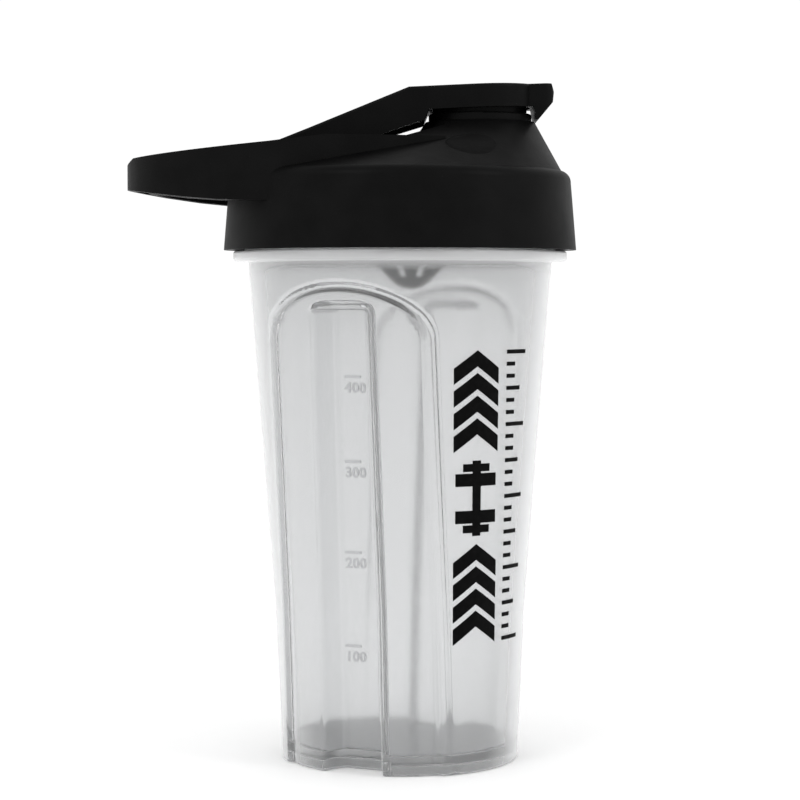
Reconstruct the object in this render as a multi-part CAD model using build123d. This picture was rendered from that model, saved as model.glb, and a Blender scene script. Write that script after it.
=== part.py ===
from build123d import *
import os
from math import asin, atan2, cos, degrees, hypot, radians, sin, sqrt

os.makedirs("parts", exist_ok=True)

# A shaker bottle standing on z = 0 with its cup on the Z axis. The spout is on the +X side and
# the carry loop on the -X side. Lengths are in millimetres and angles in degrees.

# ---------------------------------------------------------------- cup
FOOT_R = 34.4            # outside radius at the foot
WAIST_Z, WAIST_R = 45.5, 36.6    # where the wall's taper changes
BODY_TOP_Z, BODY_TOP_R = 144.4, 44.0
WALL = 1.6
FOOT_ROUND = 0.8
FOOT_WALL = 2.0          # thickness of the skirt under the floor
FLOOR_UNDER, FLOOR_TOP = 3.2, 5.2
FLANGE_TOP_Z, FLANGE_R = 147.4, 48.4
FLANGE_ROUND = 0.7
NECK_R = 45.3
RIM_Z = 164.0
RIM_ROUND = 0.6

# grips: an arched panel with a finger groove in its middle, on two opposite sides
GRIP_TURN = -24.5        # turn of the first grip from the -Y side
PANEL_DEPTH = 1.5
PANEL_HALF = 23.6        # half the panel's chord
PANEL_SPRING = 123.1     # height where the arch starts
PANEL_TOP = 136.8
PANEL_LEAN = 3.9         # mean taper of the wall behind a panel
PANEL_DRAFT = 0.5        # run of the panel's border for each millimetre of depth
GROOVE_DEPTH = 9.8       # from the cup's full radius to the groove's floor
GROOVE_TOP = 131.2
GROOVE_HALF_LOW, GROOVE_HALF_HIGH = 6.9, 6.3    # half the floor's width, at foot and at top
GROOVE_DRAFT = 0.3       # run of a side wall for each millimetre of depth
GROOVE_ROUND = 5.5
CEILING_ROUND = 1.6

# ---------------------------------------------------------------- screw thread
THREAD_STARTS = 2
THREAD_LEAD = 12.0       # rise in one full turn
THREAD_TURN = 285.0      # length of each ridge in degrees
THREAD_ROOT, THREAD_CREST = 2.5, 1.2    # a ridge's width at its wall and at its crest
THREAD_SINK = 0.4        # how deep a ridge's foot is sunk into its wall
CUP_THREAD_R = 47.3      # crest of the cup's ridges
LID_THREAD_R = 45.8      # crest of the lid's ridges
THREAD_Z = 150.9         # middle of the cup's first ridge at its lower end

# ---------------------------------------------------------------- lid
SKIRT_Z, SKIRT_R = 147.7, 51.1
DRUM_TOP_Z, DRUM_TOP_R = 167.0, 49.5
SHOULDER_Z, SHOULDER_R = 170.4, 46.8
SKIRT_BORE_R = 48.3
DECK_Z = 165.2           # underside that presses on the gasket
PLUG_R, PLUG_BORE_R, PLUG_Z = 42.0, 40.3, 158.4
SPOUT_X = 23.2
TOWER_Z, TOWER_R = 184.6, 15.8
COLLAR_R, COLLAR_Z = 14.9, 186.9         # the spout's foot, just under the cap's skirt
NECK_OF_SPOUT_R, SPOUT_BORE_R, SPOUT_RIM_Z = 13.5, 11.4, 190.8
SPOUT_ROUND, SPOUT_SINK = 0.5, 2.0       # rounds of its rims, and how deep its rings start
HOLLOW_Z = 169.4         # where the hollow under the cone starts to narrow
HOLLOW_TOP_R, HOLLOW_TOP_Z = 13.0, 181.9
SCOOP_X, SCOOP_Z = 24.0, 177.0
SCOOP_SIZE = (11.5, 7.5, 2.1)

# carry loop: an elliptical band, cut off square where it runs out beside the spout
LOOP_X = -20.0
LOOP_A, LOOP_B = 59.0, 35.5
LOOP_BAND = 8.5
LOOP_END_X = 12.7
LOOP_WALL = 2.4
LOOP_TOP = [(-80.0, 171.2), (-76.3, 173.75), (-36.5, 177.3), (-20.3, 179.1), (13.5, 178.9)]
LOOP_UNDER = [(-80.0, 165.1), (-70.0, 163.5), (-60.0, 162.2), (-50.8, 161.4), (-35.2, 161.0)]

# trough between the loop's bars, in which the cap's arm lies
TROUGH_Z = 167.2
TROUGH_END = (5.0, 180.6)
TROUGH_FLOOR = 2.0       # thickness left under it
TOWER_FLANK = 0.68       # growth of the tower's radius for each millimetre down to the trough

# ---------------------------------------------------------------- flip cap and its hinge
HINGE_X, HINGE_Z, KNUCKLE_R = -38.6, 172.7, 4.6
KNUCKLE_HALF = 10.2
CHEEK_GAP = 0.5
CHEEK_FRONT, CHEEK_BACK = -31.0, -46.5
PIN_R, PIN_BORE_R = 1.5, 1.55
PIN_NEAR, PIN_FAR = -19.0, 32.5
CAP_R, CAP_BORE_R = 16.5, 14.5
CAP_BEND = (2.54, 193.95)        # where the arm's top turns into the cap's top
CAP_TOP_END = (43.4, 195.4)
TAB = [(44.2, 192.9), (43.85, 190.0), (39.6, 184.9), (38.9, 185.1)]
TAB_HALF = 9.0
CAP_SKIRT_Z = 188.1
CAP_CEILING_Z = 192.6
ARM_LOW = (-2.54, 181.5)
ARM_STEP = (7.0, 184.5)
ARM_FLARE_X = -26.0
SHELL = 2.0
CAP_EDGE_ROUND = 0.8
STUD_R, STUD_LENGTH = 3.0, 1.2

# ---------------------------------------------------------------- seals and strainer
SEAL_R, SEAL_PLUG_R, SEAL_PLUG_END_R, SEAL_DEPTH = 13.1, 11.1, 9.9, 2.0
GASKET_IN_R, GASKET_OUT_R, GASKET_ROUND = 42.3, 45.9, 0.35
STRAINER_RIM_R, STRAINER_RIM_WALL = 40.0, 1.8
STRAINER_RIM_Z, STRAINER_RIM_TOP = 158.0, 162.4
STRAINER_SHEET = 1.6
NOSE_X, NOSE_R, NOSE_TIP_Z = 3.2, 11.4, 136.5
NOSE_TOP_Z = 149.2
WEB_SLOTS, WEB_SLOT_WIDTH = 20, 3.2
NOSE_SLOTS, NOSE_SLOT_WIDTH = 8, 2.6

REACH = 300.0            # longer than anything here, for cutting shapes


def cup_radius(z):
    """Outside radius of the plain cup wall at height z."""
    if z < WAIST_Z:
        return FOOT_R + (WAIST_R - FOOT_R) * z / WAIST_Z
    return WAIST_R + (BODY_TOP_R - WAIST_R) * (z - WAIST_Z) / (BODY_TOP_Z - WAIST_Z)


def turned(points, centre_x=0.0):
    """A solid turned about a vertical axis from (radius, z) points."""
    face = Plane.XZ * make_face(Polyline(*points, close=True))
    return Pos(centre_x, 0, 0) * revolve(face, Axis.Z)


def disc(radius, low, high, centre_x=0.0):
    """A vertical cylinder between two heights."""
    return Pos(centre_x, 0, low) * Cylinder(
        radius, high - low, align=(Align.CENTER, Align.CENTER, Align.MIN)
    )


def side_slab(points, half_width):
    """A slab across Y whose outline is given as (x, z) points."""
    face = Plane.XZ * make_face(Polyline(*points, close=True))
    return extrude(face, amount=half_width, both=True)


def wall_form(inset, low, high):
    """The cup's tapered body of revolution, inset from its outside surface."""
    middle = [(WAIST_R - inset, WAIST_Z)] if low < WAIST_Z < high else []
    foot = [(cup_radius(low) - inset, low)]
    if inset == 0 and low == 0:
        foot = [(FOOT_R - FOOT_ROUND, 0), (cup_radius(FOOT_ROUND), FOOT_ROUND)]
    points = [(0, low), *foot, *middle, (cup_radius(high) - inset, high), (0, high)]
    return turned(points)


def arch_face(half, top, spring):
    """An arch standing well below the foot, with an elliptical head."""
    low = -REACH / 10
    outline = [
        Line((half, spring), (half, low)),
        Line((half, low), (-half, low)),
        Line((-half, low), (-half, spring)),
        EllipticalCenterArc((0, spring), half, top - spring, start_angle=0, arc_size=180),
    ]
    return make_face(Curve() + outline)


def panel_wedge(inset):
    """The arched block that stands where a grip panel is sunk, facing -Y."""
    lean = radians(PANEL_LEAN)
    edge_sag = cup_radius(WAIST_Z) - sqrt(cup_radius(WAIST_Z) ** 2 - PANEL_HALF**2)
    plane = Plane(
        origin=(0, -FOOT_R, 0), x_dir=(1, 0, 0), z_dir=(0, -cos(lean), -sin(lean))
    )
    faces = []
    for out in (-edge_sag - 8, 8):
        half = PANEL_HALF + inset + (out + edge_sag) * PANEL_DRAFT
        top = PANEL_TOP + inset + out * PANEL_DRAFT
        faces.append(plane.offset(out) * arch_face(half, top, PANEL_SPRING))
    return loft(faces, ruled=True)


def groove_section(z, half_floor, inset):
    """The finger groove's outline at one height, facing -Y."""
    floor = cup_radius(z) - GROOVE_DEPTH
    side_shift = inset * sqrt(1 + GROOVE_DRAFT**2)
    mouth = cup_radius(z) + 4
    inner = half_floor + side_shift - inset * GROOVE_DRAFT
    outer = half_floor + side_shift + (mouth - floor) * GROOVE_DRAFT
    face = make_face(
        Polyline(
            (-outer, -mouth),
            (-inner, inset - floor),
            (inner, inset - floor),
            (outer, -mouth),
            close=True,
        )
    )
    corners = face.vertices().sort_by(Axis.Y)[-2:]
    return Pos(0, 0, z) * fillet(corners, GROOVE_ROUND + inset)


def groove_block(inset):
    """The block that stands where a finger groove is sunk, facing -Y."""
    top = GROOVE_TOP + inset
    halves = [(-2.0, GROOVE_HALF_LOW), (WAIST_Z, GROOVE_HALF_LOW), (top, GROOVE_HALF_HIGH)]
    block = loft([groove_section(z, half, inset) for z, half in halves], ruled=True)
    head = block.faces().sort_by(Axis.Z)[-1]
    sides = [e for e in head.edges() if e.geom_type == GeomType.LINE]
    sides = [e for e in sides if abs(e.tangent_at(0.5).Y) > 0.5]
    return fillet(sides, CEILING_ROUND + inset)


def gripped_form(inset, low, high):
    """The cup's body with both grips sunk in, inset by a wall thickness."""
    body = wall_form(inset, low, high)
    sunk = wall_form(inset + PANEL_DEPTH, low, min(high, PANEL_TOP + 4))
    panel, groove = panel_wedge(inset), groove_block(inset)
    turns = [Rot(0, 0, GRIP_TURN), Rot(0, 0, GRIP_TURN + 180)]
    for turn in turns:
        body -= turn * panel
    body += sunk
    for turn in turns:
        body -= turn * groove
    return body


def thread_ridges(wall_r, crest_r, z, phase):
    """The starts of a screw thread that stands from wall_r to crest_r."""
    outward = 1 if crest_r > wall_r else -1
    sunk_r = wall_r - outward * THREAD_SINK
    ridges = []
    for start in range(THREAD_STARTS):
        helix = Helix(THREAD_LEAD, THREAD_LEAD * THREAD_TURN / 360, wall_r)
        outline = Polyline(
            (sunk_r, -THREAD_ROOT / 2),
            (wall_r, -THREAD_ROOT / 2),
            (crest_r, -THREAD_CREST / 2),
            (crest_r, THREAD_CREST / 2),
            (wall_r, THREAD_ROOT / 2),
            (sunk_r, THREAD_ROOT / 2),
            close=True,
        )
        ridge = sweep(Plane.XZ * make_face(outline), path=helix, is_frenet=True)
        ridges.append(Pos(0, 0, z) * Rot(0, 0, phase + 360 * start / THREAD_STARTS) * ridge)
    return ridges


def cup():
    body = gripped_form(0, 0, BODY_TOP_Z)
    flange = disc(FLANGE_R, BODY_TOP_Z, FLANGE_TOP_Z)
    body += fillet(flange.edges(), FLANGE_ROUND)
    neck = disc(NECK_R, FLANGE_TOP_Z - 1, RIM_Z)
    body += fillet(neck.edges().sort_by(Axis.Z)[-1], RIM_ROUND)
    body -= gripped_form(WALL, FLOOR_TOP, BODY_TOP_Z)
    body -= gripped_form(FOOT_WALL, 0, FLOOR_UNDER)
    body -= disc(BODY_TOP_R - WALL, BODY_TOP_Z - 0.01, RIM_Z + 1)
    for ridge in thread_ridges(NECK_R, CUP_THREAD_R, THREAD_Z, 0):
        body += ridge
    return body


def loop_plan(shrink):
    """The carry loop's ellipse, made smaller all round, as a tall prism."""
    ellipse = Ellipse(LOOP_A - shrink, LOOP_B - shrink)
    return Pos(LOOP_X, 0, 0) * extrude(ellipse, amount=REACH)


def trough_line(drop):
    """The trough floor's outline as seen from the side, from left to right."""
    slope = (TROUGH_END[1] - TROUGH_Z) / (TROUGH_END[0] - HINGE_X)
    far_x = 60.0
    far_z = TROUGH_Z + slope * (far_x - HINGE_X)
    return [(-90, TROUGH_Z - drop), (HINGE_X, TROUGH_Z - drop), (far_x, far_z - drop)]


def lid_outside():
    """Drum, shoulder and oblique cone, up to the top of the tower."""
    drum = turned(
        [(0, SKIRT_Z), (SKIRT_R, SKIRT_Z), (DRUM_TOP_R, DRUM_TOP_Z), (0, DRUM_TOP_Z)]
    )
    rise = SHOULDER_Z - DRUM_TOP_Z
    edge = Plane.XZ * make_face(
        Curve()
        + [
            Line((0, DRUM_TOP_Z), (DRUM_TOP_R, DRUM_TOP_Z)),
            ThreePointArc(
                (DRUM_TOP_R, DRUM_TOP_Z),
                (SHOULDER_R + 0.72 * (DRUM_TOP_R - SHOULDER_R), DRUM_TOP_Z + 0.66 * rise),
                (SHOULDER_R, SHOULDER_Z),
            ),
            Line((SHOULDER_R, SHOULDER_Z), (0, SHOULDER_Z)),
            Line((0, SHOULDER_Z), (0, DRUM_TOP_Z)),
        ]
    )
    shoulder = revolve(edge, Axis.Z)
    low = Pos(0, 0, SHOULDER_Z) * Circle(SHOULDER_R)
    high = Pos(SPOUT_X, 0, TOWER_Z) * Circle(TOWER_R)
    cone = loft([low, high], ruled=True)
    return drum + shoulder + cone


def loop_solid():
    """The carry loop's band with its hinge cheeks, before the lid is hollowed."""
    # above the drum the bars start inside the lid's own wall
    slab = side_slab(
        [*LOOP_TOP, (13.5, DECK_Z), (LOOP_UNDER[-1][0], DECK_Z), *reversed(LOOP_UNDER)], 60
    )
    band = (loop_plan(0) - loop_plan(LOOP_BAND)) & slab
    band &= Pos(LOOP_END_X - REACH / 2, 0, 150) * Box(REACH, REACH, REACH)
    cheek_x = (CHEEK_FRONT + CHEEK_BACK) / 2
    cheeks = Pos(cheek_x, 0, 150) * Box(CHEEK_FRONT - CHEEK_BACK, REACH, REACH)
    cheeks -= Box(REACH, 2 * (KNUCKLE_HALF + CHEEK_GAP), REACH * 4)
    cheeks &= loop_plan(LOOP_BAND / 2) & slab
    # a cored channel under the part of the band that hangs outside the drum
    core_slab = side_slab(
        [(x, z - LOOP_WALL) for x, z in LOOP_TOP] + [(13.5, 150), (-80, 150)], 60
    )
    core = (loop_plan(LOOP_WALL) - loop_plan(LOOP_BAND - LOOP_WALL)) & core_slab
    core -= disc(SKIRT_R + LOOP_WALL, 100, 260)
    core &= Pos(-REACH / 2 + CHEEK_BACK - LOOP_WALL, 0, 150) * Box(REACH, REACH, REACH)
    return band + cheeks - core


def trough():
    """What is cut away between the bars, down to the trough's floor."""
    x_low, x_high = -70.0, LOOP_END_X
    line = trough_line(0)
    slope = (line[2][1] - line[1][1]) / (line[2][0] - line[1][0])
    outline = [
        (x_low, TROUGH_Z),
        (HINGE_X, TROUGH_Z),
        (x_high, TROUGH_Z + slope * (x_high - HINGE_X)),
        (x_high, 220),
        (x_low, 220),
    ]
    block = side_slab(outline, 60) & loop_plan(LOOP_BAND)
    cheek_x = (CHEEK_FRONT + CHEEK_BACK) / 2
    keep = Pos(cheek_x, 0, 150) * Box(CHEEK_FRONT - CHEEK_BACK, REACH, REACH)
    keep -= Box(REACH, 2 * (KNUCKLE_HALF + CHEEK_GAP), REACH * 4)
    depth = 12.0
    flank = turned(
        [
            (0, TOWER_Z + 0.01),
            (TOWER_R, TOWER_Z + 0.01),
            (TOWER_R + depth * TOWER_FLANK, TOWER_Z - depth),
            (0, TOWER_Z - depth),
        ],
        SPOUT_X,
    )
    return block - keep - flank


def scoop(side):
    """A shallow oval recess in the cone's flank, on the side given as -1 or +1."""
    run = (SHOULDER_R - TOWER_R) * 0.985
    slope = degrees(atan2(TOWER_Z - SHOULDER_Z, run))
    share = (SCOOP_Z - SHOULDER_Z) / (TOWER_Z - SHOULDER_Z)
    out = SHOULDER_R + (TOWER_R - SHOULDER_R) * share
    oval = scale(Sphere(1), by=SCOOP_SIZE)
    return Pos(SCOOP_X, side * out, SCOOP_Z) * Rot(-side * slope, 0, 0) * oval


def lid_hollow():
    """Everything inside the lid: thread space, hollow cone and spout bore."""
    space = disc(SKIRT_BORE_R, SKIRT_Z - 1, DECK_Z)
    space -= disc(PLUG_R, PLUG_Z, DECK_Z + 1)
    space += disc(PLUG_BORE_R, SKIRT_Z - 1, HOLLOW_Z)
    low = Pos(0, 0, HOLLOW_Z) * Circle(PLUG_BORE_R)
    high = Pos(SPOUT_X, 0, HOLLOW_TOP_Z) * Circle(HOLLOW_TOP_R)
    space += loft([low, high], ruled=True)
    below = side_slab([*trough_line(TROUGH_FLOOR), (60, 100), (-90, 100)], 60)
    space &= below
    return space + disc(SPOUT_BORE_R, HOLLOW_TOP_Z - 4, SPOUT_RIM_Z + 1, SPOUT_X)


def lid():
    body = lid_outside() + loop_solid()
    body -= trough()
    for side in (-1, 1):
        body -= scoop(side)
    collar = disc(COLLAR_R, TOWER_Z - SPOUT_SINK, COLLAR_Z, SPOUT_X)
    body += fillet(collar.edges().sort_by(Axis.Z)[-1], SPOUT_ROUND)
    neck = disc(NECK_OF_SPOUT_R, TOWER_Z - SPOUT_SINK, SPOUT_RIM_Z, SPOUT_X)
    body += fillet(neck.edges().sort_by(Axis.Z)[-1], SPOUT_ROUND)
    body -= lid_hollow()
    bore = Pos(HINGE_X, 0, HINGE_Z) * Rot(90, 0, 0) * Cylinder(PIN_R, REACH)
    keep = Pos(0, PIN_NEAR - REACH / 2, 150) * Box(REACH, REACH, REACH)
    body -= bore - keep
    half_pitch = THREAD_LEAD / THREAD_STARTS / 2
    for ridge in thread_ridges(SKIRT_BORE_R, LID_THREAD_R, THREAD_Z, 0):
        body += Rot(0, 0, 360 * half_pitch / THREAD_LEAD) * ridge
    return body


def arm_plan(shrink):
    """The cap's arm seen from above, made smaller all round: it flares to meet the cap's round."""
    knuckle, cap_r = KNUCKLE_HALF - shrink, CAP_R - shrink
    left = HINGE_X - KNUCKLE_R - 1
    run, reach = SPOUT_X - ARM_FLARE_X, hypot(SPOUT_X - ARM_FLARE_X, knuckle)
    flare = asin(cap_r / reach) - atan2(knuckle, run)
    meet = (SPOUT_X - cap_r * sin(flare), cap_r * cos(flare))
    half_outline = [(left, knuckle), (ARM_FLARE_X, knuckle), meet]
    other_half = [(x, -y) for x, y in reversed(half_outline)]
    return extrude(make_face(Polyline(*half_outline, *other_half, close=True)), amount=REACH)


def cap_side_points():
    """The flip cap's outline seen from the side, without the round of its knuckle."""
    top_angle = atan2(CAP_BEND[1] - HINGE_Z, CAP_BEND[0] - HINGE_X) + asin(
        KNUCKLE_R / hypot(CAP_BEND[0] - HINGE_X, CAP_BEND[1] - HINGE_Z)
    )
    low_angle = atan2(ARM_LOW[1] - HINGE_Z, ARM_LOW[0] - HINGE_X) + asin(
        KNUCKLE_R / hypot(ARM_LOW[0] - HINGE_X, ARM_LOW[1] - HINGE_Z)
    )
    top_angle = 2 * atan2(CAP_BEND[1] - HINGE_Z, CAP_BEND[0] - HINGE_X) - top_angle
    upper = (HINGE_X - KNUCKLE_R * sin(top_angle), HINGE_Z + KNUCKLE_R * cos(top_angle))
    lower = (HINGE_X + KNUCKLE_R * sin(low_angle), HINGE_Z - KNUCKLE_R * cos(low_angle))
    skirt_left = (ARM_STEP[0] + 1.2, CAP_SKIRT_Z - 0.6)
    skirt_right = (SPOUT_X + 15.0, CAP_SKIRT_Z + 0.6)
    return upper, lower, skirt_left, skirt_right


def flip_cap():
    upper, lower, skirt_left, skirt_right = cap_side_points()
    outline = [upper, CAP_BEND, CAP_TOP_END, *TAB, skirt_right, skirt_left]
    outline += [ARM_STEP, ARM_LOW, lower]
    side = side_slab(outline, 30)
    tab = Pos((SPOUT_X + TAB[0][0]) / 2, 0, 0) * extrude(
        RectangleRounded(TAB[0][0] - SPOUT_X, 2 * TAB_HALF, 3.0), amount=REACH
    )
    plan = arm_plan(0) + disc(CAP_R, 0, REACH, SPOUT_X) + tab
    body = side & plan
    top_edges = [
        edge
        for edge in body.edges()
        if all(abs(v.Z - top_height(v.X)) < 0.02 for v in edge.vertices())
        and abs(edge.center().Y) > 0.5
    ]
    body = fillet(top_edges, CAP_EDGE_ROUND)
    knuckle = Pos(HINGE_X, 0, HINGE_Z) * Rot(90, 0, 0) * Cylinder(KNUCKLE_R, 2 * KNUCKLE_HALF)
    body += knuckle
    # the hollow of the arm ends short of the knuckle, and the hollow of the cap holds the seal
    sloped = [(x, z - SHELL) for x, z in (upper, CAP_BEND)]
    hollow_left = HINGE_X + KNUCKLE_R + SHELL
    end_x, end_z = ARM_STEP[0], CAP_BEND[1] - SHELL
    arm_space = side_slab([*sloped, (end_x, end_z), (end_x, 150), (-60, 150)], 30)
    arm_space &= arm_plan(SHELL)
    arm_space &= Pos(hollow_left + REACH / 2, 0, 150) * Box(REACH, REACH, REACH)
    body -= arm_space
    body -= disc(CAP_BORE_R, 150, CAP_CEILING_Z, SPOUT_X)
    body += disc(STUD_R, CAP_CEILING_Z - STUD_LENGTH, CAP_CEILING_Z, SPOUT_X)
    bore = Pos(HINGE_X, 0, HINGE_Z) * Rot(90, 0, 0) * Cylinder(PIN_BORE_R, REACH)
    return body - bore


def top_height(x):
    """Height of the flip cap's top over a point on the X axis."""
    if x < CAP_BEND[0]:
        upper = cap_side_points()[0]
        return upper[1] + (CAP_BEND[1] - upper[1]) * (x - upper[0]) / (CAP_BEND[0] - upper[0])
    rise = CAP_TOP_END[1] - CAP_BEND[1]
    return CAP_BEND[1] + rise * (x - CAP_BEND[0]) / (CAP_TOP_END[0] - CAP_BEND[0])


def hinge_pin():
    pin = Cylinder(PIN_R, PIN_FAR - PIN_NEAR)
    pin = fillet(pin.edges(), 0.3)
    return Pos(HINGE_X, (PIN_FAR + PIN_NEAR) / 2, HINGE_Z) * Rot(90, 0, 0) * pin


def spout_seal():
    """A soft disc on the spout's rim with a plug that tapers into its bore."""
    body = turned(
        [
            (0, SPOUT_RIM_Z - SEAL_DEPTH),
            (SEAL_PLUG_END_R - 1.2, SPOUT_RIM_Z - SEAL_DEPTH),
            (SEAL_PLUG_END_R, SPOUT_RIM_Z - SEAL_DEPTH + 0.7),
            (SEAL_PLUG_R, SPOUT_RIM_Z),
            (SEAL_R, SPOUT_RIM_Z),
            (SEAL_R, CAP_CEILING_Z),
            (0, CAP_CEILING_Z),
        ],
        SPOUT_X,
    )
    socket = disc(STUD_R, CAP_CEILING_Z - STUD_LENGTH, CAP_CEILING_Z + 1, SPOUT_X)
    return body - socket


def lid_gasket():
    ring = disc(GASKET_OUT_R, RIM_Z, DECK_Z) - disc(GASKET_IN_R, RIM_Z - 1, DECK_Z + 1)
    return fillet(ring.edges(), GASKET_ROUND)


def mixing_strainer():
    rim = disc(STRAINER_RIM_R, STRAINER_RIM_Z, STRAINER_RIM_TOP)
    rim = fillet(rim.edges(), 0.5)
    bore_r = STRAINER_RIM_R - STRAINER_RIM_WALL
    rim -= disc(bore_r, STRAINER_RIM_Z - 1, STRAINER_RIM_TOP + 1)
    nose_reach = NOSE_R + NOSE_X
    web = turned(
        [
            (0, NOSE_TOP_Z - STRAINER_SHEET),
            (nose_reach, NOSE_TOP_Z - STRAINER_SHEET),
            (bore_r + 0.6, STRAINER_RIM_Z + 0.4),
            (bore_r + 0.6, STRAINER_RIM_Z + 0.4 + STRAINER_SHEET),
            (nose_reach, NOSE_TOP_Z),
            (0, NOSE_TOP_Z),
        ]
    )
    slot_in = nose_reach + 2.2
    slot_length = bore_r - slot_in - 2.4
    slot = Pos((slot_in + bore_r - 2.4) / 2, 0, STRAINER_RIM_Z - 6) * extrude(
        SlotOverall(slot_length, WEB_SLOT_WIDTH), amount=REACH, both=True
    )
    for count in range(WEB_SLOTS):
        web -= Rot(0, 0, 360 * (count + 0.5) / WEB_SLOTS) * slot
    web -= disc(NOSE_R - 0.5, 100, 200, NOSE_X)
    outline = nose_curve(0)
    inner = nose_curve(STRAINER_SHEET)
    nose = revolve(outline, Axis.Z) - revolve(inner, Axis.Z)
    slot_height = NOSE_TOP_Z - NOSE_TIP_Z - 6.2
    nose_slot = Box(
        REACH, NOSE_SLOT_WIDTH, slot_height, align=(Align.MIN, Align.CENTER, Align.MIN)
    )
    for count in range(NOSE_SLOTS):
        nose -= Rot(0, 0, 360 * (count + 0.5) / NOSE_SLOTS) * Pos(4, 0, NOSE_TIP_Z + 3.6) * nose_slot
    return rim + web + Pos(NOSE_X, 0, 0) * nose


def nose_curve(inset):
    """Half of the strainer's bullet-shaped nose, inset from its outside."""
    tip = NOSE_TIP_Z + inset
    top = NOSE_TOP_Z + (1 if inset else 0)
    radius = NOSE_R - inset
    side = Spline(
        (0, tip), (0.62 * radius, tip + 3.9 - 0.2 * inset), (radius, top - 1.0),
        tangents=[(1, 0), (0.05, 1)],
    )
    outline = Curve() + [
        side,
        Line((radius, top - 1.0), (radius, top)),
        Line((radius, top), (0, top)),
        Line((0, top), (0, tip)),
    ]
    return Plane.XZ * make_face(outline)


PARTS = (cup, lid, flip_cap, hinge_pin, spout_seal, lid_gasket, mixing_strainer)

if __name__ == "__main__":
    for make in PARTS:
        export_step(make(), f"parts/{make.__name__}.step")
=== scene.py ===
import bpy
from math import asin, atan2, cos, degrees, hypot, pi, radians, sin, sqrt
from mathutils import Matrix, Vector


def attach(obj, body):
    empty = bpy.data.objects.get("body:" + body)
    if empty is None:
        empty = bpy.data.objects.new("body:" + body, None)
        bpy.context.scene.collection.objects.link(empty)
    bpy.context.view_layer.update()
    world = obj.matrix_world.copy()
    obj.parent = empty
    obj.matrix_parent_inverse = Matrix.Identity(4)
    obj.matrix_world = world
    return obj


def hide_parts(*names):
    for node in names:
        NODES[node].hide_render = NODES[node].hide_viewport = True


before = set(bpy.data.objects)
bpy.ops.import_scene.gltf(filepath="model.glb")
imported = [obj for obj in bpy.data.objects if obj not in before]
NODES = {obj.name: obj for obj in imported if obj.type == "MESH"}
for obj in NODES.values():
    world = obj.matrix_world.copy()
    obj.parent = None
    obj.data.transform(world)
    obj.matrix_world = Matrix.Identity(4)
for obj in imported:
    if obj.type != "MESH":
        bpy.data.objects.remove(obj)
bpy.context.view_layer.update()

MM = 0.001


# ---------------------------------------------------------------- material helpers
CLEAR_FACE_ON, CLEAR_EDGE_ON = 0.93, 0.25    # share of the light that goes through the cup's wall
NECK_MILK_Z, NECK_CLEAR = (0.1415, 0.1450), 0.5    # metres between which it turns milkier


class Look:
    """A node material that is built up around one Principled shader."""

    def __init__(self, name, colour, roughness):
        self.material = bpy.data.materials.new(name)
        self.material.use_nodes = True
        self.tree = self.material.node_tree
        self.shader = self.tree.nodes["Principled BSDF"]
        self.set("Base Color", (*colour, 1.0))
        self.set("Roughness", roughness)

    def set(self, socket, value):
        self.shader.inputs[socket].default_value = value

    def node(self, kind, **values):
        made = self.tree.nodes.new(kind)
        for key, value in values.items():
            socket = key.replace("_", " ").title()
            if socket in made.inputs:
                made.inputs[socket].default_value = value
            else:
                setattr(made, key, value)
        return made

    def link(self, a, b):
        self.tree.links.new(a, b)

    def coords(self):
        return self.node("ShaderNodeTexCoord").outputs["Object"]

    def noise(self, scale, detail=3.0, roughness=0.5, stretch=None):
        vector = self.coords()
        if stretch:
            mapping = self.node("ShaderNodeMapping")
            mapping.inputs["Scale"].default_value = stretch
            self.link(vector, mapping.inputs["Vector"])
            vector = mapping.outputs["Vector"]
        made = self.node("ShaderNodeTexNoise", scale=scale, detail=detail, roughness=roughness)
        self.link(vector, made.inputs["Vector"])
        return made.outputs["Fac"]

    def ramp(self, source, low, high, to_low, to_high):
        made = self.node("ShaderNodeMapRange")
        values = (low, high, to_low, to_high)
        for socket, value in zip(("From Min", "From Max", "To Min", "To Max"), values):
            made.inputs[socket].default_value = value
        self.link(source, made.inputs["Value"])
        return made.outputs["Result"]

    def vary_roughness(self, source, low, high):
        self.link(self.ramp(source, 0.3, 0.7, low, high), self.shader.inputs["Roughness"])

    def vary_colour(self, source, dark, light):
        made = self.node("ShaderNodeMix", data_type="RGBA")
        colours = [s for s in made.inputs if s.type == "RGBA"]
        colours[0].default_value = (*dark, 1.0)
        colours[1].default_value = (*light, 1.0)
        self.link(self.ramp(source, 0.3, 0.7, 0.0, 1.0), made.inputs["Factor"])
        result = [s for s in made.outputs if s.type == "RGBA"][0]
        self.link(result, self.shader.inputs["Base Color"])

    def bump(self, sources, distance):
        """Adds fine relief. sources is a list of (height, strength)."""
        normal = None
        for height, strength in sources:
            made = self.node("ShaderNodeBump")
            made.inputs["Strength"].default_value = strength
            made.inputs["Distance"].default_value = distance
            self.link(height, made.inputs["Height"])
            if normal is not None:
                self.link(normal, made.inputs["Normal"])
            normal = made.outputs["Normal"]
        self.link(normal, self.shader.inputs["Normal"])


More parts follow.
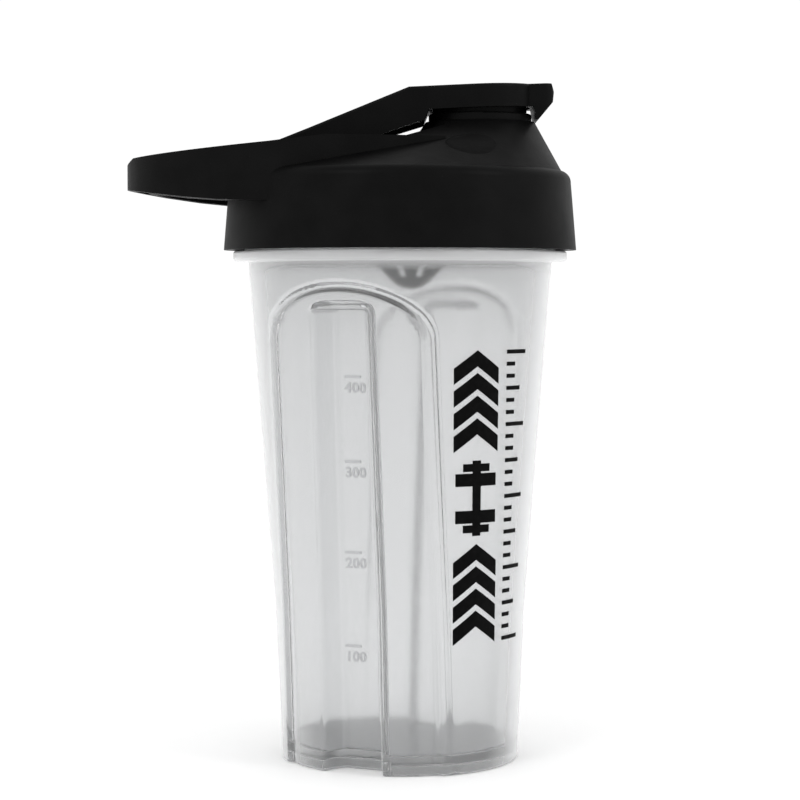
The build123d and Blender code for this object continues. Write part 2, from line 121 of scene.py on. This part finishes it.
def cup_look(name, tint=(0.835, 0.84, 0.845)):
    """Frosted natural polypropylene: clear face on, and milkier where the wall is seen edge on."""
    look = Look(name, tint, 0.12)
    look.set("IOR", 1.45)
    look.set("Specular IOR Level", 0.5)
    cloud = look.noise(38.0, 4.0, 0.55, (1.0, 1.0, 0.35))
    look.vary_roughness(cloud, 0.10, 0.15)
    edge = look.node("ShaderNodeLayerWeight", blend=0.5).outputs["Facing"]
    clear = look.ramp(edge, 0.35, 0.95, CLEAR_FACE_ON, CLEAR_EDGE_ON)
    # thicker, so milkier, at the neck and its flange
    split = look.node("ShaderNodeSeparateXYZ")
    look.link(look.coords(), split.inputs["Vector"])
    neck = look.ramp(split.outputs["Z"], *NECK_MILK_Z, 1.0, NECK_CLEAR)
    both = look.node("ShaderNodeMath", operation="MULTIPLY")
    look.link(clear, both.inputs[0])
    look.link(neck, both.inputs[1])
    look.link(both.outputs["Value"], look.shader.inputs["Transmission Weight"])
    look.bump([(look.noise(90.0, 2.0), 0.03)], 0.0003)
    return look.material


def black_plastic(name, shade=0.003, gloss=0.42):
    """Black moulded polypropylene with a faint satin sheen."""
    look = Look(name, (shade, shade, shade * 1.06), gloss)
    look.set("Specular IOR Level", 0.06)
    smear = look.noise(45.0, 4.0, 0.6)
    look.vary_roughness(smear, gloss - 0.06, gloss + 0.08)
    look.vary_colour(look.noise(120.0, 3.0), (shade * 0.8,) * 3, (shade * 1.25,) * 3)
    look.bump([(look.noise(3200.0, 2.0), 0.16), (look.noise(160.0, 2.0), 0.04)], 0.0002)
    return look.material


def silicone(name):
    """Soft milky silicone."""
    look = Look(name, (0.55, 0.56, 0.57), 0.55)
    look.set("Subsurface Weight", 0.3)
    look.set("Subsurface Scale", 0.002)
    look.vary_colour(look.noise(180.0), (0.50, 0.51, 0.52), (0.60, 0.61, 0.62))
    look.bump([(look.noise(1800.0), 0.12)], 0.0002)
    return look.material


def ground_steel(name):
    """Steel with fine grinding lines around the pin."""
    look = Look(name, (0.62, 0.62, 0.63), 0.3)
    look.set("Metallic", 1.0)
    lines = look.noise(900.0, 2.0, 0.5, (1.0, 0.04, 1.0))
    look.vary_roughness(lines, 0.22, 0.4)
    look.bump([(lines, 0.2)], 0.0001)
    return look.material


def ink(name):
    """Black screen-printing ink."""
    look = Look(name, (0.002, 0.002, 0.002), 0.5)
    look.set("Specular IOR Level", 0.04)
    look.vary_roughness(look.noise(300.0), 0.44, 0.6)
    look.vary_colour(look.noise(700.0), (0.001,) * 3, (0.003,) * 3)
    look.bump([(look.noise(2200.0), 0.15)], 0.0001)
    return look.material


def dress(node, material):
    """Gives a CAD node its material and smooth shading with crisp edges."""
    thing = NODES[node]
    thing.data.materials.clear()
    thing.data.materials.append(material)
    for polygon in thing.data.polygons:
        polygon.use_smooth = True
    thing.data.set_sharp_from_angle(angle=radians(28))


# ---------------------------------------------------------------- cup shell
# The cup's own sizes in millimetres. They are those of its CAD solid, except that the panel's
# half width and top are taken inside its border, which is soft here. The shell adds what
# moulding does: rounded borders round the grips and tapered ends on the threads.
FOOT_R, WAIST_Z, WAIST_R = 34.4, 45.5, 36.6
BODY_TOP_Z, BODY_TOP_R = 144.4, 44.0
WALL, FOOT_WALL = 1.6, 2.0
FLOOR_UNDER, FLOOR_TOP = 3.2, 5.2
FLANGE_TOP_Z, FLANGE_R = 147.4, 48.4
NECK_R, RIM_Z = 45.3, 164.0
EDGE_ROUND, INNER_ROUND = 0.8, 0.5       # rounds of the flange and rim, and of their corners
FOOT_EDGE = 0.55         # height of the round along the foot's lower edge
GRIP_TURN = -24.5
PANEL_DEPTH, PANEL_HALF, PANEL_SPRING, PANEL_TOP = 1.5, 23.2, 123.1, 136.6
PANEL_BORDER, BORDER_GROWTH = 1.5, 1.2    # the border's width at the arch, growth to the foot
GROOVE_DEPTH, GROOVE_TOP = 9.8, 131.2
GROOVE_HALF_LOW, GROOVE_HALF_HIGH, GROOVE_DRAFT = 6.9, 6.3, 0.3
GROOVE_MOUTH = 9.4       # half the width within which the columns are close together
GROOVE_SOFT = 7.0        # how far the rounded join of the floor and the side walls reaches
CEILING_ROUND, CEILING_RISE = 1.6, 0.9
SOFT_EDGE = 0.55         # how far smooth joins reach
STARTS, LEAD, TURN = 2, 12.0, 285.0
THREAD_TAPER = 14        # degrees over which a thread rises at each end
THREAD_Z, THREAD_R, THREAD_ROOT, THREAD_CREST = 150.9, 47.3, 2.5, 1.2
CHORD = 28.0             # half the width of the columns that run straight up a grip


def wall_radius(z):
    """Outside radius of the plain wall at height z."""
    if z < WAIST_Z:
        return FOOT_R + (WAIST_R - FOOT_R) * z / WAIST_Z
    return WAIST_R + (BODY_TOP_R - WAIST_R) * (z - WAIST_Z) / (BODY_TOP_Z - WAIST_Z)


def smooth_step(x):
    x = min(1.0, max(0.0, x))
    return x * x * (3 - 2 * x)


def smooth_least(a, b, reach):
    """The lesser of two numbers, with the join between them rounded."""
    share = max(reach - abs(a - b), 0.0) / reach
    return min(a, b) - share * share * reach / 4


def smooth_most(a, b, reach):
    return -smooth_least(-a, -b, reach)


def panel_sink(t, z, inset):
    """How deep the grip's arched panel is sunk at a place t across and z up."""
    half, rise = PANEL_HALF + inset, PANEL_TOP + inset - PANEL_SPRING
    if z <= PANEL_SPRING:
        outside = abs(t) - half
    else:
        up = (z - PANEL_SPRING) / rise
        across = t / half
        size = hypot(up, across)
        slope = hypot(up / rise, across / half) / max(size, 1e-6)
        outside = (size - 1) / max(slope, 1e-6)
    border = PANEL_BORDER + BORDER_GROWTH * max(0.0, 1 - z / PANEL_SPRING)
    return PANEL_DEPTH * smooth_step(0.5 - outside / border)


def groove_half(z):
    """Half the width of the groove's floor at height z."""
    share = min(1.0, max(0.0, (z - WAIST_Z) / (GROOVE_TOP - WAIST_Z)))
    return GROOVE_HALF_LOW + (GROOVE_HALF_HIGH - GROOVE_HALF_LOW) * share


def grip_surface(t, z, inset):
    """How far out the wall is, t across from the middle of a grip and z up."""
    radius = wall_radius(z) - inset
    plain = sqrt(max(0.0, (radius - panel_sink(t, z, inset)) ** 2 - t * t))
    top = GROOVE_TOP + inset
    below = top - z
    if below < -CEILING_RISE:
        return plain
    floor = wall_radius(z) - GROOVE_DEPTH - inset
    half = groove_half(z) + inset * (sqrt(1 + GROOVE_DRAFT**2) - GROOVE_DRAFT)
    corner = CEILING_ROUND + inset
    if 0 < below < corner:
        half -= corner - sqrt(corner**2 - (corner - below) ** 2)
    elif below <= 0:
        half -= corner
    side = floor + (abs(t) - half) / GROOVE_DRAFT
    sunk = smooth_most(floor, side, GROOVE_SOFT)
    sunk = smooth_least(plain, sunk, 2 * SOFT_EDGE)
    return plain + (sunk - plain) * smooth_step((below + CEILING_RISE / 2) / CEILING_RISE)


def thread_rise(angle, z):
    """How far a thread stands out of the neck at an angle in degrees and a height."""
    most = 0.0
    for start in range(STARTS):
        along = (angle - 360 * start / STARTS) % 360
        if along > TURN:
            continue
        middle = THREAD_Z + LEAD * along / 360
        slope = (THREAD_ROOT - THREAD_CREST) / 2
        share = (THREAD_ROOT / 2 - abs(z - middle)) / slope
        ends = smooth_step(min(along, TURN - along) / THREAD_TAPER)
        most = max(most, smooth_step(share) * ends)
    return most * (THREAD_R - NECK_R)


def spread(low, high, count):
    """Evenly spaced values from low up to, but without, high."""
    return [low + (high - low) * k / count for k in range(count)]


def chord_columns():
    """Places across a grip, close together where its walls are steep."""
    steep, flat, border = GROOVE_HALF_LOW - 4.0, GROOVE_MOUTH + 1.2, PANEL_HALF - 2.0
    half = spread(0, steep, 4) + spread(steep, flat, 24)
    half += spread(flat, border, 15) + spread(border, CHORD, 11)
    half.append(CHORD)
    return [-t for t in reversed(half[1:])] + half


CHORDS = chord_columns()
SIDE_COLUMNS = 30


def ring(radius, z, gripped=None, threaded=False):
    """One closed row of points round the cup. gripped is the wall inset of a gripped row."""
    points = []
    for turn in (0, 180):
        spin = radians(GRIP_TURN + turn)
        local = []
        for t in CHORDS:
            if gripped is None:
                out = sqrt(radius**2 - t * t)
            else:
                out = grip_surface(t, z, gripped)
            local.append((t, -out))
        edge = asin(CHORD / radius)
        for k in range(1, SIDE_COLUMNS):
            angle = edge + (pi - 2 * edge) * k / SIDE_COLUMNS
            local.append((radius * sin(angle), -radius * cos(angle)))
        for x, y in local:
            points.append((x * cos(spin) - y * sin(spin), x * sin(spin) + y * cos(spin)))
    if threaded:
        raised = []
        for x, y in points:
            rise = thread_rise(degrees(atan2(y, x)) % 360, z)
            raised.append((x * (1 + rise / radius), y * (1 + rise / radius)))
        points = raised
    return [(x, y, z) for x, y in points]


def shrunk(points, share, z):
    """A row drawn in towards the axis and laid at height z."""
    return [(x * share, y * share, z) for x, y, _ in points]


def wall_heights(low, high, inset):
    """Row heights of a gripped wall, close together at the arch and at the groove's top."""
    top = GROOVE_TOP + inset
    marks = spread(low, low + 2, 2) + spread(low + 2, WAIST_Z, 4)
    marks += spread(WAIST_Z, PANEL_SPRING - 6, 7)
    marks += spread(PANEL_SPRING - 6, top - CEILING_ROUND - inset, 8)
    marks += spread(top - CEILING_ROUND - inset, top - CEILING_RISE / 2, 7)
    marks += spread(top - CEILING_RISE / 2, top + CEILING_RISE / 2, 6)
    marks += spread(top + CEILING_RISE / 2, PANEL_TOP + inset + 2, 14)
    marks += spread(PANEL_TOP + inset + 2, high, 3)
    return marks + [high]


def quarter(radius, z, size, turn_from, turn_to, steps):
    """(radius, z) points of a small round: centre, size and the angles it runs between."""
    angles = [turn_from + (turn_to - turn_from) * k / steps for k in range(steps + 1)]
    return [(radius + size * cos(radians(a)), z + size * sin(radians(a))) for a in angles]


def cup_rows():
    """Rows of the whole shell: out under the floor, up the outside and down the inside."""
    rows = []
    recess = ring(wall_radius(FLOOR_UNDER) - FOOT_WALL, FLOOR_UNDER, FOOT_WALL)
    rows += [shrunk(recess, share, FLOOR_UNDER) for share in (0.25, 0.5, 0.75, 0.93)]
    rows.append(shrunk(recess, 0.985, FLOOR_UNDER - 0.1))
    for z in (FLOOR_UNDER - 0.5, 2.5, 0.5):
        rows.append(ring(wall_radius(z) - FOOT_WALL, z, FOOT_WALL))
    # the foot's lower edge is a half round between its two walls
    for turn in (200, 225, 250, 270, 290, 315, 340):
        inset = FOOT_WALL / 2 - FOOT_WALL / 2 * cos(radians(turn))
        z = FOOT_EDGE + FOOT_EDGE * sin(radians(turn))
        rows.append(ring(wall_radius(0) - inset, z, inset))
    body_top = BODY_TOP_Z - INNER_ROUND
    for z in wall_heights(0.9, body_top, 0):
        rows.append(ring(wall_radius(z), z, 0))
    edge, inner = EDGE_ROUND, INNER_ROUND
    profile = quarter(wall_radius(BODY_TOP_Z) + inner, body_top, inner, 180, 90, 3)[1:]
    profile += quarter(FLANGE_R - edge, BODY_TOP_Z + edge, edge, 270, 360, 4)
    profile += quarter(FLANGE_R - edge, FLANGE_TOP_Z - edge, edge, 0, 90, 4)
    profile += quarter(NECK_R + inner, FLANGE_TOP_Z + inner, inner, 270, 180, 3)
    for radius, z in profile:
        rows.append(ring(radius, z))
    for z in spread(FLANGE_TOP_Z + 0.9, RIM_Z - 0.9, 42) + [RIM_Z - 0.9]:
        rows.append(ring(NECK_R, z, threaded=True))
    bore = BODY_TOP_R - WALL
    rim = quarter(NECK_R - edge, RIM_Z - edge, edge, 0, 90, 4)
    rim += quarter(bore + edge, RIM_Z - edge, edge, 90, 180, 4)
    for radius, z in rim:
        rows.append(ring(radius, z))
    for z in (156.0, 150.0, BODY_TOP_Z + 1):
        rows.append(ring(bore, z))
    for z in reversed(wall_heights(FLOOR_TOP + 1.4, body_top, WALL)):
        rows.append(ring(wall_radius(z) - WALL, z, WALL))
    corner = ring(wall_radius(FLOOR_TOP) - WALL, FLOOR_TOP, WALL)
    for share, lift in ((0.997, 0.8), (0.985, 0.3), (0.96, 0.05), (0.75, 0), (0.5, 0), (0.25, 0)):
        rows.append(shrunk(corner, share, FLOOR_TOP + lift))
    return rows


def mesh_from(name, points, faces, material, smooth_angle=None):
    """A smooth-shaded object from points in millimetres."""
    data = bpy.data.meshes.new(name)
    data.from_pydata([tuple(c * MM for c in p) for p in points], [], faces)
    data.polygons.foreach_set("use_smooth", [True] * len(data.polygons))
    if smooth_angle is not None:
        data.set_sharp_from_angle(angle=radians(smooth_angle))
    data.materials.append(material)
    thing = bpy.data.objects.new(name, data)
    bpy.context.scene.collection.objects.link(thing)
    return thing


def cup_shell(material):
    """The cup's look: one closed skin through all its rows."""
    rows = cup_rows()
    width = len(rows[0])
    points = [(0, 0, FLOOR_UNDER)] + [p for row in rows for p in row] + [(0, 0, FLOOR_TOP)]
    last = len(points) - 1
    faces = [(0, 1 + (k + 1) % width, 1 + k) for k in range(width)]
    for row in range(len(rows) - 1):
        low, high = 1 + row * width, 1 + (row + 1) * width
        for k in range(width):
            n = (k + 1) % width
            faces.append((low + k, low + n, high + n, high + k))
    top = 1 + (len(rows) - 1) * width
    faces += [(last, top + k, top + (k + 1) % width) for k in range(width)]
    shell = mesh_from("cup_shell", points, faces, material)
    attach(shell, "cup")
    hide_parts("cup")


# ---------------------------------------------------------------- marks on the cup
MARK_HEIGHTS = {"100": 35.5, "200": 62.3, "300": 88.1, "400": 112.0}
MARK_LOW_T, MARK_HIGH_T = -4.9, -2.5     # left ends of the lowest and the highest tick
MARK_LENGTH, MARK_THICK, MARK_PROUD = 4.9, 0.8, 0.22
DIGIT_SIZE, DIGIT_DROP, DIGIT_BOLD = 4.0, 4.4, 0.1


def in_groove(points):
    """Points given as (across, up, out) from the front groove's surface, in millimetres."""
    spin, placed = radians(GRIP_TURN), []
    for t, z, out in points:
        x, y = t, -(grip_surface(t, z, 0) + out)
        placed.append((x * cos(spin) - y * sin(spin), x * sin(spin) + y * cos(spin), z))
    return placed


def graduation(label, height, material):
    """A raised tick with its number below, as moulded into the groove."""
    heights = list(MARK_HEIGHTS.values())
    share = (height - heights[0]) / (heights[-1] - heights[0])
    start = MARK_LOW_T + (MARK_HIGH_T - MARK_LOW_T) * share
    curve = bpy.data.curves.new("digits", "FONT")
    curve.body = label
    curve.size = DIGIT_SIZE
    curve.offset = DIGIT_BOLD
    curve.space_character = 1.1
    curve.extrude = MARK_PROUD
    holder = bpy.data.objects.new("digits", curve)
    bpy.context.scene.collection.objects.link(holder)
    text = bpy.data.meshes.new_from_object(holder)
    bpy.data.objects.remove(holder)
    points = [(start + v.co.x, height - DIGIT_DROP + v.co.y, v.co.z) for v in text.vertices]
    faces = [tuple(p.vertices) for p in text.polygons]
    steps = 6
    for out in (-MARK_PROUD, MARK_PROUD):
        for up in (-MARK_THICK / 2, MARK_THICK / 2):
            for k in range(steps + 1):
                points.append((start + MARK_LENGTH * k / steps, height + up, out))
    first, row = len(points) - 4 * (steps + 1), steps + 1
    under, over = (0, row), (2 * row, 3 * row)
    for k in range(steps):
        for a, b in ((under[1], under[0]), over, (under[0], over[0]), (over[1], under[1])):
            faces.append(tuple(first + c for c in (a + k, a + k + 1, b + k + 1, b + k)))
    faces.append(tuple(first + c for c in (under[0], over[0], over[1], under[1])))
    end = tuple(first + steps + c for c in (under[1], over[1], over[0], under[0]))
    faces.append(end)
    made = mesh_from(f"graduation_{label}", in_groove(points), faces, material, 35)
    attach(made, "cup")


# The print is two columns up the cup's plain side. Places are (across, up) in millimetres.
PRINT_LOW, PRINT_HIGH = 37.0, 119.6
BOLD_AT, THIN_AT = 15.1, 33.1    # how far round from the front each column's left side is
BOLD_WIDTH, THIN_WIDTH = 14.8, 8.6
CHEVRONS, CHEVRON_PITCH, CHEVRON_RISE, CHEVRON_THICK = 4, 6.3, 5.0, 4.5
PLATES = ((5.2, 3.6, 0.92), (8.6, 2.2, 0.6))     # a dumbbell plate's distance, thickness, width
HANDLE_WIDTH, DUMBBELL_HALF = 2.8, 10.6
TICKS, TICK_THICK = 25, 1.15
TICK_SHARES = (1.0, 0.42, 0.42, 0.7, 0.42, 0.42)
INK_LIFT, INK_THICK = 0.03, 0.07
INK_ROWS, INK_STEP = 4, 0.8


def band(left, right, up, thick, rise=0.0):
    """A printed band from left to right, which may be raised in its middle as a chevron."""
    count = 2 * max(1, round((right - left) / INK_STEP / 2))
    columns = []
    for k in range(count + 1):
        x = left + (right - left) * k / count
        middle = up + rise * (1 - abs(2 * k / count - 1))
        columns.append([(x, middle + thick * (r / INK_ROWS - 0.5)) for r in range(INK_ROWS + 1)])
    return columns


def bold_bands():
    """Two stacks of chevrons with a dumbbell between them, from the foot up."""
    width, length = BOLD_WIDTH, PRINT_HIGH - PRINT_LOW
    stack = (CHEVRONS - 1) * CHEVRON_PITCH + CHEVRON_RISE + CHEVRON_THICK
    bands = []
    for start in (0.0, length - stack):
        for k in range(CHEVRONS):
            up = start + k * CHEVRON_PITCH + CHEVRON_THICK / 2
            bands.append(band(0, width, up, CHEVRON_THICK, CHEVRON_RISE))
    middle, grip = width / 2, length / 2
    left, right = middle - HANDLE_WIDTH / 2, middle + HANDLE_WIDTH / 2
    (near, near_thick, _), (far, far_thick, _) = PLATES
    bands.append(band(left, right, grip, 2 * near - near_thick))
    for side in (-1, 1):
        for place, thick, share in PLATES:
            half = width * share / 2
            bands.append(band(middle - half, middle + half, grip + side * place, thick))
        ends = (near + near_thick / 2, far - far_thick / 2), (far + far_thick / 2, DUMBBELL_HALF)
        for low, high in ends:
            bands.append(band(left, right, grip + side * (low + high) / 2, high - low))
    return bands


def thin_bands():
    """Ticks of three lengths, like a plain ruler."""
    pitch = (PRINT_HIGH - PRINT_LOW - TICK_THICK) / (TICKS - 1)
    bands = []
    for k in range(TICKS):
        reach = THIN_WIDTH * TICK_SHARES[k % len(TICK_SHARES)]
        bands.append(band(0, reach, TICK_THICK / 2 + k * pitch, TICK_THICK))
    return bands


def printed(name, start, bands, material):
    """Thin ink on the cup's wall, with its column's left side start millimetres round."""
    across = INK_ROWS + 1
    points, faces = [], []
    for columns in bands:
        first, layer = len(points), len(columns) * across
        for lift in (INK_LIFT, INK_LIFT + INK_THICK):
            for along, up in (place for column in columns for place in column):
                z = PRINT_LOW + up
                radius, angle = wall_radius(z) + lift, (start + along) / wall_radius(z)
                points.append((radius * sin(angle), -radius * cos(angle), z))
        for k in range(len(columns) - 1):
            a, b = first + k * across, first + (k + 1) * across
            for r in range(INK_ROWS):
                under = (a + r, a + r + 1, b + r + 1, b + r)
                faces.append(under)
                faces.append(tuple(layer + v for v in reversed(under)))
            faces.append((a, b, layer + b, layer + a))
            a, b = a + INK_ROWS, b + INK_ROWS
            faces.append((a, layer + a, layer + b, b))
        for r in range(INK_ROWS):
            a = first + r
            faces.append((a, layer + a, layer + a + 1, a + 1))
            a += layer - across
            faces.append((a, a + 1, layer + a + 1, layer + a))
    made = mesh_from(name, points, faces, material, 40)
    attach(made, "cup")


def print_columns(material):
    printed("print_bold", BOLD_AT, bold_bands(), material)
    printed("print_thin", THIN_AT, thin_bands(), material)


# ---------------------------------------------------------------- pieces
FROSTED = cup_look("frosted_plastic")
cup_shell(FROSTED)
for label, height in MARK_HEIGHTS.items():
    graduation(label, height, FROSTED)
print_columns(ink("print_ink"))
dress("lid", black_plastic("lid_black"))
dress("flip_cap", black_plastic("cap_black", gloss=0.38))
dress("mixing_strainer", black_plastic("strainer_black", shade=0.012))
dress("spout_seal", silicone("seal_silicone"))
dress("lid_gasket", silicone("gasket_silicone"))
dress("hinge_pin", ground_steel("pin_steel"))


# ---------------------------------------------------------------- studio
AIR, AIR_IN_GLOSS = 1.03, 0.7
FLOOR_RADIUS = 30.0
AIM = (0, 0, 0.14)
EYE, EYE_DOWN, LENS = (0.0, -0.683, 0.1365), 2.714, 105.5    # EYE_DOWN is in degrees


def studio():
    floor_look = Look("studio_white", (0.95, 0.95, 0.95), 0.7)
    floor_look.set("Specular IOR Level", 0.1)
    floor_look.set("Emission Color", (1.0, 1.0, 1.0, 1.0))
    floor_look.set("Emission Strength", 0.08)
    floor_look.vary_colour(floor_look.noise(3.0), (0.945,) * 3, (0.955,) * 3)
    bpy.ops.mesh.primitive_circle_add(vertices=96, radius=FLOOR_RADIUS, fill_type="NGON")
    floor = bpy.context.object
    floor.name = "studio_floor"
    floor.data.materials.append(floor_look.material)
    world = bpy.data.worlds.new("studio_air")
    bpy.context.scene.world = world
    world.use_nodes = True
    tree = world.node_tree
    background = tree.nodes["Background"]
    background.inputs["Color"].default_value = (1.0, 1.0, 1.0, 1.0)
    # soft white all round, but dark in gloss, as round black cloth beside the camera would be
    rays = tree.nodes.new("ShaderNodeLightPath")
    gloss = tree.nodes.new("ShaderNodeMapRange")
    gloss.inputs["To Min"].default_value = AIR
    gloss.inputs["To Max"].default_value = AIR_IN_GLOSS
    tree.links.new(rays.outputs["Is Glossy Ray"], gloss.inputs["Value"])
    tree.links.new(gloss.outputs["Result"], background.inputs["Strength"])
    bpy.context.scene.view_settings.view_transform = "Standard"


def area(name, place, aim, size, power):
    light = bpy.data.lights.new(name, "AREA")
    light.shape = "RECTANGLE"
    light.size, light.size_y = size
    light.energy = power
    holder = bpy.data.objects.new(name, light)
    holder.location = place
    holder.rotation_euler = (Vector(aim) - Vector(place)).to_track_quat("-Z", "Y").to_euler()
    bpy.context.scene.collection.objects.link(holder)


def camera():
    eye = bpy.data.cameras.new("camera")
    eye.lens = LENS
    eye.sensor_width = 36.0
    holder = bpy.data.objects.new("camera", eye)
    holder.location = EYE
    holder.rotation_euler = (radians(90 - EYE_DOWN), 0, 0)
    bpy.context.scene.collection.objects.link(holder)
    bpy.context.scene.camera = holder


studio()
area("key", (-0.7, -0.9, 1.0), AIM, (0.5, 0.5), 3.0)
area("rim", (0.9, -0.5, 0.7), AIM, (0.3, 0.6), 2.0)
camera()
